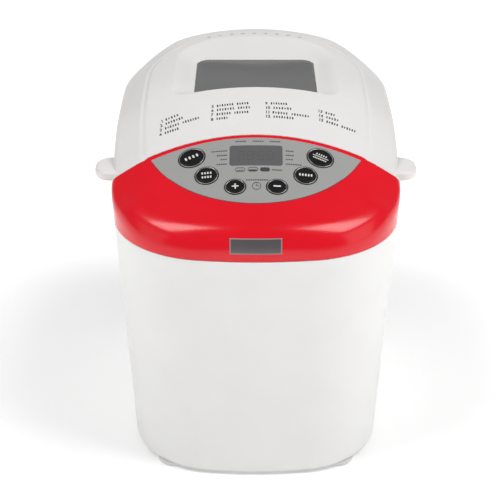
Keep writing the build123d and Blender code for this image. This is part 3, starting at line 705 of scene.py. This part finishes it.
def plate(name, loop, lift, thick, body, mat, sub=0, replaces=(), deg=30):
    """A thin closed sheet following the top surface, from a convex closed loop in plan."""
    loop = np.asarray(loop, float)
    c = loop.mean(0)
    rings = max(1, sub)
    V, F = [], []
    n = len(loop)
    for h in (lift, lift - thick):
        for k in range(rings + 1):
            t = 1 - k / (rings + 1)
            V.append(surf_pts(c + (loop - c) * t, h))
        V.append(surf_pts([c], h))
    V = np.vstack(V)
    per = (rings + 1) * n + 1
    for s, base in ((1, 0), (-1, per)):
        for k in range(rings):
            a, b = base + k * n, base + (k + 1) * n
            for j in range(n):
                q = (a + j, a + (j + 1) % n, b + (j + 1) % n, b + j)
                F.append(q if s > 0 else q[::-1])
        last, mid = base + rings * n, base + per - 1
        for j in range(n):
            q = (last + j, last + (j + 1) % n, mid)
            F.append(q if s > 0 else q[::-1])
    for j in range(n):
        F.append((j, per + j, per + (j + 1) % n, (j + 1) % n))
    return new_object(name, V, F, body, mat, deg, replaces)


def capsule_loop(x0, y0, x1, y1, r, n=6):
    d = np.array([x1 - x0, y1 - y0]); L = np.hypot(*d); d = d / max(L, 1e-9)
    a0 = math.atan2(d[1], d[0])
    p = []
    for c, s in (((x1, y1), -90), ((x0, y0), 90)):
        for k in range(n + 1):
            t = a0 + math.radians(s + 180 * k / n)
            p.append((c[0] + r * math.cos(t), c[1] + r * math.sin(t)))
    return np.array(p)


def join(objs, name, body, mat):
    verts, faces = [], []
    for o in objs:
        b = len(verts)
        verts += [tuple(v.co) for v in o.data.vertices]
        faces += [tuple(b + i for i in p.vertices) for p in o.data.polygons]
        me = o.data
        bpy.data.objects.remove(o)
        bpy.data.meshes.remove(me)
    return new_object(name, verts, faces, body, mat, 40, row=True)


def strokes(name, segs, r, body, mat, lift=0.06, thick=0.14):
    """Printed marks: each segment is a short capsule on the surface."""
    objs = []
    for i, s in enumerate(segs):
        rr = s[4] if len(s) > 4 else r
        objs.append(plate("%s_%d" % (name, i), capsule_loop(*s[:4], rr), lift, thick, body, mat))
    return join(objs, name, body, mat)


for k, (x, y, a, b, turn) in KEYS.items():
    lathe_oval(k + "_bezel", x, y, a - 0.75, b - 0.75, turn,
               [(0.0, -0.3), (0.0, 0.45), (0.1, 0.68), (0.3, 0.78), (0.6, 0.78), (0.8, 0.68), (0.9, 0.4), (0.9, -0.6)],
               "root", M["silver"], closed=True)
    lathe_oval(k + "_key_surround", x, y, a, b, turn,
               [(0.0, -0.3), (0.0, 0.22), (0.12, 0.32), (0.7, 0.32), (0.8, -0.3)], "root", M["outline"], closed=True)
    lathe_oval(k + "_keycap", x, y, a - 1.85, b - 1.85, turn,
               [(-1.3, -6.0), (-1.3, -4.7), (0.0, -4.6), (0.0, 0.55), (0.12, 0.85), (0.4, 1.05), (0.9, 1.13), (2.2, 1.1), (5.0, 1.02)],
               k + "_key", M["black"], (k + "_button",))
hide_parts("button_bezels")



def feet():
    """Four pale feet with rounded edges; the front pair are wider and show past the casing."""
    V, F, n = [], [], 72
    for x, y, r in ((-76.2, 41.5, 15.6), (76.2, 41.5, 15.6), (-80, 274, 12.9), (80, 274, 12.9)):
        prof = [(0.0, 0.0), (r * 0.6, 0.0), (r - 1.0, 0.02), (r - 0.35, 0.3), (r, 0.9), (r + 0.3, 2.2), (r + 0.3, 3.4), (r, 3.95),
                (r - 0.6, 4.1), (9.6, 4.12), (9.6, 7.0), (0.0, 7.0)]
        base = len(V)
        for q, z in prof[1:-1]:
            V += [(x + q * math.cos(2 * math.pi * k / n), y + q * math.sin(2 * math.pi * k / n), z) for k in range(n)]
        F += grid_faces(len(prof) - 2, n, True, base)
        F.append(tuple(base + k for k in range(n)))
        F.append(tuple(base + (len(prof) - 3) * n + k for k in range(n)))
    return new_object("feet_pale", V, F, "root", M["foot_pale"], 40, ("rubber_feet",))


feet()


def panel_seam():
    """A thin near-black strip along the panel's front edge: painted shade standing in for the shadow in the groove
    between the panel and the fascia.
    """
    n = 240
    out, inn = lens_loop(-0.12, n)[3:n - 3], lens_loop(0.42, n)[3:n - 3]
    m = len(out)
    V = np.vstack([surf_pts(out, -0.3), surf_pts(out, 0.07), surf_pts(inn, 0.07), surf_pts(inn, -0.3)])
    F = [(r * m + j, r * m + j + 1, ((r + 1) % 4) * m + j + 1, ((r + 1) % 4) * m + j) for r in range(4) for j in range(m - 1)]
    F += [(0, m, 2 * m, 3 * m), (m - 1, 4 * m - 1, 3 * m - 1, 2 * m - 1)]
    return new_object("panel_seam", V, F, "root", M["seam"], 35)


panel_seam()

# ------------------------------------------------------------- window glass
def slab(name, loop, rows, body, mat, replaces=(), deg=35):
    """A flat piece: rows are (inset, z) from the lowest to the highest."""
    c = loop.mean(0)
    d = np.roll(loop, -1, 0) - np.roll(loop, 1, 0)
    n = np.c_[d[:, 1], -d[:, 0]] / np.maximum(np.hypot(d[:, 0], d[:, 1]), 1e-9)[:, None]
    if np.sum(n * (loop - c)) < 0:
        n = -n
    V = np.vstack([np.c_[loop - n * i, np.full(len(loop), z)] for i, z in rows])
    k = len(loop)
    F = grid_faces(len(rows), k, True)
    F.append(tuple(range(k)))
    F.append(tuple((len(rows) - 1) * k + j for j in range(k)))
    return new_object(name, V, F, body, mat, deg, replaces)


def dedupe(loop, eps=0.02):
    keep = [0]
    for i in range(1, len(loop)):
        if np.hypot(*(loop[i] - loop[keep[-1]])) > eps:
            keep.append(i)
    if np.hypot(*(loop[keep[-1]] - loop[0])) < eps:
        keep.pop()
    return loop[keep]


WIN = dedupe(rrect_loop(WIN_X + 0.4, WIN_Y0 - 0.4, WIN_Y1 + 0.4, 11.5, 24, rf=7))
slab("window_pane", WIN, [(0.6, 312.0), (0.0, 312.4), (0.0, 313.3), (0.25, 313.7), (0.8, 313.95), (1.6, 314.0)],
     "lid", M["glass"], ("window_glass", "window_frame"))

# ----------------------------------------------------------------- lid tabs
for sgn, nm in ((1, "right"), (-1, "left")):
    V, F = [], []
    rr, zz0, zz1 = 3.0, 261.0, 270.0
    prof = [(rr - rr * math.sin(t), zz0 + rr - rr * math.cos(t)) for t in np.linspace(0, math.pi / 2, 7)]
    prof += [(rr - rr * math.cos(t), zz1 - rr + rr * math.sin(t)) for t in np.linspace(0, math.pi / 2, 7)]
    n = 0
    for inset, z in prof:
        x1, y0, y1, r = 144.0 - inset, 95.5 + inset, 132.0 - inset, max(15.0 - inset, 1)
        loop = [(114.0, y0)]
        loop += [(x1 - r + r * math.sin(t), y0 + r - r * math.cos(t)) for t in np.linspace(0, math.pi / 2, 16)]
        loop += [(x1 - r + r * math.cos(t), y1 - r + r * math.sin(t)) for t in np.linspace(0, math.pi / 2, 16)]
        loop += [(114.0, y1)]
        n = len(loop)
        V += [(sgn * x, y, z) for x, y in loop]
    F = grid_faces(len(prof), n, True)
    F += [tuple(range(n)), tuple((len(prof) - 1) * n + k for k in range(n))]
    new_object("lid_tab_" + nm, V, F, "lid", M["lid"], 35)

# --------------------------------------------------------------- hinge arms
for sgn, nm in ((1, "right"), (-1, "left")):
    prof = [(320.0, 264.0), (328.0, 264.0)]
    prof += [(337 + 6 * math.sin(t), 258 + 6 * math.cos(t)) for t in np.linspace(0, math.radians(274), 40)]
    prof += [(320.0, 258.4)]
    n = len(prof)
    V = []
    for x, g in ((-7.6, 0.5), (-7.1, 0.0), (7.1, 0.0), (7.6, 0.5)):
        for y, z in prof:
            cy, cz = (337, 258) if y > 330 else (y, 261.2)
            l = math.hypot(y - cy, z - cz)
            k = (l - g) / l
            V.append((sgn * 62 + x, cy + (y - cy) * k, cz + (z - cz) * k))
    F = grid_faces(4, n, True) + [tuple(range(n)), tuple(3 * n + k for k in range(n))]
    new_object("hinge_arm_" + nm, V, F, "lid", M["lid"], 35)


# -------------------------------------------------------------- steam vents
def vent_cutter():
    v, f = [], []
    n = 20
    for i in range(9):
        x = (i - 4) * 11.5 - 1.0
        y = 311.0 - 0.0022 * x * x
        b = len(v)
        z = float(height(x, y))
        for r, zz in ((1.9, z - 12), (1.9, z - 0.7), (2.7, z + 1.0)):
            v += [(x + r * math.cos(2 * math.pi * k / n), y + r * math.sin(2 * math.pi * k / n), zz) for k in range(n)]
        f += [tuple(b + i2 for i2 in q) for q in grid_faces(3, n, True)]
        f += [tuple(b + k for k in range(n)), tuple(b + 2 * n + k for k in range(n))]
    c = raw_object("cutter", v, f)
    bm = bmesh.new()
    bm.from_mesh(c.data)
    bmesh.ops.recalc_face_normals(bm, faces=bm.faces)
    bm.to_mesh(c.data)
    bm.free()
    return c


cut(lid, vent_cutter())
sharpen(lid.data, 35)
# a near-black disc sits about 3.4 mm under each vent hole
objs = []
for i in range(9):
    x = (i - 4) * 11.5 - 1.0
    y = 311.0 - 0.0022 * x * x
    z = float(height(x, y)) - 3.4
    ring = np.array([(x + 3.4 * math.cos(2 * math.pi * k / 20), y + 3.4 * math.sin(2 * math.pi * k / 20)) for k in range(20)])
    objs.append(slab("vent_dark_disc_%d" % i, ring, [(0.3, z - 0.8), (0, z - 0.5), (0, z), (0.3, z + 0.3)], "lid", M["vent"]))
join(objs, "vent_dark_discs", "lid", M["vent"])

# ----------------------------------------------------------------- display
LCD = dedupe(rrect_loop(LCD_W / 2 - 0.9, LCD_Y0 + 0.9, LCD_Y1 - 0.9, 1.8, 8) - np.array([0.35, 0.0]))
plate("lcd_area", LCD, -0.02, 0.12, "root", M["lcd"], sub=6)
seg = []
for cx in (-12.4, -4.6, 4.6, 12.4):
    for x0, y0, x1, y1 in ((-1.9, 4.4, 1.9, 4.4), (-1.9, 0, 1.9, 0), (-1.9, -4.4, 1.9, -4.4), (-2.4, 0.6, -2.4, 3.8),
                           (2.4, 0.6, 2.4, 3.8), (-2.4, -3.8, -2.4, -0.6), (2.4, -3.8, 2.4, -0.6)):
        seg.append((cx + x0 - 0.3, 83.9 + y0, cx + x1 - 0.3, 83.9 + y1))
seg += [(-0.3, 85.7, -0.3, 85.8), (-0.3, 82.1, -0.3, 82.2)]
strokes("lcd_segments", seg, 0.42, "root", M["lcd_seg"], lift=0.01, thick=0.08)


# ---------------------------------------------------------------- printing
def number(txt, x, y, ang, size):
    c = bpy.data.curves.new("n", "FONT")
    c.body, c.size, c.resolution_u, c.extrude, c.offset = txt, size, 3, 0.06, 0.11
    o = bpy.data.objects.new("n", c)
    bpy.context.scene.collection.objects.link(o)
    me = bpy.data.meshes.new_from_object(o.evaluated_get(bpy.context.evaluated_depsgraph_get()))
    v = np.array([tuple(p.co) for p in me.vertices])
    f = [tuple(p.vertices) for p in me.polygons]
    bpy.data.objects.remove(o)
    bpy.data.curves.remove(c)
    bpy.data.meshes.remove(me)
    ca, sa = math.cos(ang), math.sin(ang)
    X, Y = x + v[:, 0] * ca - v[:, 1] * sa, y + v[:, 0] * sa + v[:, 1] * ca
    return np.c_[X, Y, height(X, Y) + 0.03 + v[:, 2]], f, v[:, 0].max()


ROWS = [(1, -85.1, 130.9, -69.8, 135.2), (2, -85.6, 126.1, -65.6, 130.9), (3, -85.8, 121.2, -51, 128.3),
        (4, -85.9, 116.1, -69.2, 119.5), (5, -39.9, 139.7, -7.1, 141.6), (6, -40, 134.7, -5.5, 136.5),
        (7, -40.3, 129.8, -7.1, 131.1), (8, -40.1, 124.7, -25.5, 125.4), (9, 8.4, 141.4, 27.7, 141.7),
        (10, 8.4, 136.2, 31.8, 136.1), (11, 8.4, 131.2, 47.3, 129.2), (12, 8.4, 126.4, 33.3, 125.4),
        (13, 55.6, 137.4, 70.6, 134.9), (14, 55.8, 132.2, 73.7, 129.5), (15, 56, 127.6, 88.5, 120.9)]
GAPS = {3: (6,), 5: (7,), 6: (7,), 7: (6,), 11: (6,), 15: (5,)}
nv, nf = [], []
marks = []
CAP = 3.1
for num, x0, y0, x1, y1 in ROWS:
    ang = math.atan2(y1 - y0, x1 - x0)
    ux, uy = math.cos(ang), math.sin(ang)
    bx0, by0 = x0 + uy * CAP / 2, y0 - ux * CAP / 2
    v, f, w = number(str(num), bx0, by0, ang, CAP / 0.70)
    b = len(nv)
    nv += [tuple(p) for p in v]
    nf += [tuple(b + i for i in q) for q in f]
    L = math.hypot(x1 - x0, y1 - y0)
    t = w + 2.6
    cells = max(2, int(round((L - t + 0.6) / 2.3)))
    pitch = (L - t + 1.0) / cells
    for c in range(cells):
        if c in GAPS.get(num, ()):
            continue
        px, py = x0 + ux * (t + 0.9 + pitch * c), y0 + uy * (t + 0.9 + pitch * c)
        h = 0.85 - 0.25 * ((c * 7 + num * 3) % 3 == 1)
        marks.append((px + uy * h, py - ux * h, px - uy * h, py + ux * h, 0.66 if (c + num) % 2 else 0.54))
new_object("lid_numerals", nv, nf, "lid", M["ink"], 40)
strokes("lid_programme_marks", marks, 0.78, "lid", M["ink"], lift=0.05, thick=0.12)

bars = [(-18.1, 98.6, -8.5, 98.6), (-3.0, 98.6, 6.9, 98.6), (11.8, 98.6, 21.5, 98.6)]
bars += [(a, y, -25.0, y) for a, y in ((-39.1, 89.3), (-34.3, 84.8), (-31.0, 80.5), (-34.3, 75.6))]
bars += [(25.6, y, b, y) for b, y in ((32.8, 89.3), (33.0, 84.8), (32.2, 80.5), (39.5, 75.6))]
bars += [(13.4, 69.0, 22.5, 69.0), (-8.9, 58.5, 10.3, 58.5)]
cut_up = []
for x0, y0, x1, y1 in bars:
    n = max(2, int(round((x1 - x0) / 1.9)))
    p = (x1 - x0) / n
    for k in range(n):
        cut_up.append((x0 + p * (k + 0.5) - 0.28, y0, x0 + p * (k + 0.5) + 0.28, y1))
strokes("panel_marks", cut_up, 0.52, "root", M["ink_soft"], lift=0.30, thick=0.30)


def ring_marks(name, rings, body, mat, lift, thick):
    """Thin printed outlines: closed loops with a line width."""
    V, F = [], []
    for loop, w in rings:
        loop = np.asarray(loop, float)
        n = len(loop)
        d = np.roll(loop, -1, 0) - np.roll(loop, 1, 0)
        nn = np.c_[d[:, 1], -d[:, 0]] / np.maximum(np.hypot(d[:, 0], d[:, 1]), 1e-9)[:, None]
        a, c = loop + nn * w / 2, loop - nn * w / 2
        b = len(V)
        for pts, h in ((a, lift), (c, lift), (c, lift - thick), (a, lift - thick)):
            V += [tuple(q) for q in surf_pts(pts, h)]
        for r in range(4):
            for k in range(n):
                F.append((b + r * n + k, b + r * n + (k + 1) % n, b + ((r + 1) % 4) * n + (k + 1) % n, b + ((r + 1) % 4) * n + k))
    return new_object(name, V, F, body, mat, 40)


def loaf(cx, cy, w=8.2, h=4.0):
    p = []
    for k in range(40):
        t = 2 * math.pi * k / 40
        c, q = math.cos(t), math.sin(t)
        x = w / 2 * math.copysign(abs(c) ** 0.55, c)
        y = h / 2 * math.copysign(abs(q) ** 0.7, q)
        if y > 0:
            y *= 1 + 0.10 * math.cos(3 * math.pi * x / (w / 2))
        p.append((cx + x, cy + y))
    return np.array(p)


rings = [(loaf(-13.8, 69.1), 0.42), (loaf(-2.8, 69.3), 0.42)]
rings.append((np.array([(0.4 + 3.55 * math.cos(2 * math.pi * k / 40), 52.4 + 3.55 * math.sin(2 * math.pi * k / 40)) for k in range(40)]), 0.42))
ring_marks("panel_icons", rings, "root", M["ink_soft"], 0.30, 0.30)
plate("panel_loaf_dark", loaf(7.7, 69.2), 0.30, 0.30, "root", M["ink"], sub=1)
strokes("panel_loaf_half", [(-5.4, 68.3, -0.2, 68.3)], 0.75, "root", M["ink"], lift=0.31, thick=0.3)
strokes("panel_loaf_dots", [(-16.2, 68.4, -11.4, 68.4)], 0.3, "root", M["ink_soft"], lift=0.31, thick=0.3)
strokes("panel_clock_hands", [(0.4, 52.4, 0.4, 54.6), (0.4, 52.4, 1.9, 52.4)], 0.22, "root", M["ink_soft"],
        lift=0.30, thick=0.30)


def key_print(key, segs, r):
    """Marks on a keycap, each given along and across the key's own oval."""
    x, y, a, b, turn = KEYS[key]
    o, u, v, nrm = key_frame(x, y)
    ct, st = math.cos(math.radians(turn)), math.sin(math.radians(turn))
    U, W = u * ct + v * st, v * ct - u * st
    V, F = [], []
    for s in segs:
        rr = s[4] if len(s) > 4 else r
        loop = capsule_loop(*s[:4], rr, 8)
        k = len(loop)
        base = len(V)
        for h in (1.0, 1.2):
            for p in loop:
                V.append(tuple(o + U * p[0] + W * p[1] + nrm * h))
        F += [tuple(base + i for i in q) for q in grid_faces(2, k, True)]
        F += [tuple(base + i for i in range(k)), tuple(base + k + i for i in range(k))]
    return new_object(key + "_key_print", V, F, key + "_key", M["key_print"], 40)


def dashes(x0, x1, y, n, h, w=None):
    p = (x1 - x0) / n
    w = p * 0.5 if w is None else w
    return [(x0 + p * (k + 0.5), y - h, x0 + p * (k + 0.5), y + h) for k in range(n)]


key_print("menu", dashes(-7.0, 7.0, 0.2, 4, 0.85), 0.85)
key_print("loaf_size", dashes(-4.9, 4.9, 2.1, 4, 0.55) + dashes(-4.7, 4.7, -2.4, 4, 0.55), 0.68)
key_print("crust", dashes(-6.3, 6.3, 0.0, 5, 0.65), 0.72)
key_print("start_stop", dashes(-5.4, 5.4, 2.6, 5, 0.5) + [(-7.0, 0.2, 7.0, 0.2, 0.34)] + dashes(-6.4, 6.4, -2.2, 8, 0.25), 0.55)
key_print("plus", [(-2.4, 0, 2.4, 0), (0, -2.4, 0, 2.4)], 0.62)
key_print("minus", [(-2.5, 0, 2.5, 0)], 0.75)


# ------------------------------------------------------------ blank badge
def front_line(x, ts):
    """Points up the front of the fascia at x, by length from its lower edge."""
    lo = outline(20, 20, back=False)
    k = int(np.argmin(np.abs(lo[:, 0] - x)))
    ye = float(np.interp(x, lo[::-1, 0], lo[::-1, 1]))
    pts = []
    ze = float(height(x, ye))
    for z in np.linspace(Z_FASCIA + 0.3, ze, 40):
        pts.append((x, ye + float(draft(z)), z))
    for d in np.linspace(0, 22, 90)[1:]:
        z = float(height(x, ye + d))
        pts.append((x, ye + d + float(draft(z)) * (1 - float(smooth(0, 20, d))), z))
    pts = np.array(pts)
    l = np.r_[0, np.cumsum(np.hypot(np.diff(pts[:, 1]), np.diff(pts[:, 2])))]
    out = np.array([[x, np.interp(t, l, pts[:, 1]), np.interp(t, l, pts[:, 2])] for t in ts])
    e = 0.4
    a = np.array([[np.interp(t - e, l, pts[:, 1]), np.interp(t - e, l, pts[:, 2])] for t in ts])
    b = np.array([[np.interp(t + e, l, pts[:, 1]), np.interp(t + e, l, pts[:, 2])] for t in ts])
    tv = b - a
    tv /= np.hypot(tv[:, 0], tv[:, 1])[:, None]
    return out, np.c_[np.zeros(len(ts)), -tv[:, 1], tv[:, 0]]


def badge(name, hw, t0, t1, lift0, lift1, mat, edge_r=0.3):
    xs = np.r_[-hw, np.linspace(-hw + edge_r, hw - edge_r, 28), hw]
    ts = np.r_[t0, np.linspace(t0 + edge_r, t1 - edge_r, 12), t1]
    top, bot = [], []
    for i, x in enumerate(xs):
        p, n = front_line(x - 0.4, ts)
        k = np.ones(len(ts))
        k[0] = k[-1] = 0.35
        if i in (0, len(xs) - 1):
            k *= 0.35
        top.append(p + n * (lift1 * k)[:, None])
        bot.append(p + n * lift0)
    r, c = len(xs), len(ts)
    V = np.vstack(top + bot)
    F = []
    for i in range(r - 1):
        for j in range(c - 1):
            a = i * c + j
            F.append((a, a + 1, a + c + 1, a + c))
            F.append((r * c + a, r * c + a + c, r * c + a + c + 1, r * c + a + 1))
    rim = [i * c for i in range(r)] + [(r - 1) * c + j for j in range(1, c)] + [i * c + c - 1 for i in range(r - 2, -1, -1)]
    rim += [j for j in range(c - 2, 0, -1)]
    for q in range(len(rim)):
        a, b = rim[q], rim[(q + 1) % len(rim)]
        F.append((a, b, r * c + b, r * c + a))
    return new_object(name, V, F, "root", mat, 40)


badge("badge_back", 21.8, 7.2, 20.6, -0.3, 0.30, M["badge_dark"])
badge("badge_face", 21.0, 8.0, 19.8, 0.15, 0.50, M["badge"])

# ------------------------------------------------------- lighting and floor
world = bpy.data.worlds.new("studio")
bpy.context.scene.world = world
world.use_nodes = True
bg = world.node_tree.nodes["Background"]
bg.inputs[0].default_value = (1, 1, 1, 1)
bg.inputs[1].default_value = 0.235


def area(name, loc, target, size, radiance, size_y=None, color=(1, 1, 1)):
    """An area light of a given radiance, whatever its size."""
    sy = size_y or size
    l = bpy.data.lights.new(name, "AREA")
    l.shape, l.size, l.size_y = "RECTANGLE", size, sy
    l.energy, l.color = radiance * math.pi * size * sy, color
    o = bpy.data.objects.new(name, l)
    o.location = loc
    o.rotation_euler = (Vector(target) - Vector(loc)).to_track_quat("-Z", "Y").to_euler()
    bpy.context.scene.collection.objects.link(o)
    return o


area("left_softbox", (-1.04, -0.50, 2.02), (0, -0.1, 0.25), 0.64, 7.5, 1.15)
area("right_softbox", (1.10, -0.50, 1.98), (0, -0.1, 0.25), 0.78, 7.2, 1.22)
area("back_soft", (0.0, 1.9, 1.5), (0, 0.05, 0.25), 2.4, 0.45, 1.2)
area("right_fill", (1.75, -0.9, 0.75), (0.05, 0, 0.2), 0.9, 1.2, 1.2)
area("left_fill", (-1.75, -0.9, 0.75), (-0.05, 0, 0.2), 0.9, 0.6, 1.2)

floor_mat = material("floor_white", (0.93, 0.93, 0.93), rough=0.85, var=0.0, bump=0.0, rough_var=0.0)
fv = [(-40, -40, 0), (40, -40, 0), (40, 40, 0), (-40, 40, 0)]
fb = floor_mat.node_tree.nodes["Principled BSDF"]
fb.inputs["Emission Color"].default_value = (1, 1, 1, 1)
fn = floor_mat.node_tree
# painted shade: the floor glows like a light table, its emission rising from 0.215 within 0.17 m of the centre to 0.57
# beyond 0.62 m, which paints a darker pool round the object's base
ftc, fl_len, floor_shade_ramp = fn.nodes.new("ShaderNodeTexCoord"), fn.nodes.new("ShaderNodeVectorMath"), fn.nodes.new("ShaderNodeMapRange")
fl_len.operation = "LENGTH"
floor_shade_ramp.interpolation_type = "SMOOTHSTEP"
for key, val in (("From Min", 0.17), ("From Max", 0.62), ("To Min", 0.215), ("To Max", 0.57)):
    floor_shade_ramp.inputs[key].default_value = val
fn.links.new(ftc.outputs["Object"], fl_len.inputs[0])
fn.links.new(fl_len.outputs["Value"], floor_shade_ramp.inputs["Value"])
fn.links.new(floor_shade_ramp.outputs["Result"], fb.inputs["Emission Strength"])
fm = bpy.data.meshes.new("floor")
fm.from_pydata(fv, [], [(0, 1, 2, 3)])
floor = bpy.data.objects.new("floor", fm)
fm.materials.append(floor_mat)
bpy.context.scene.collection.objects.link(floor)
bpy.context.scene.view_settings.view_transform = "Standard"
bpy.context.scene.view_settings.look = "None"
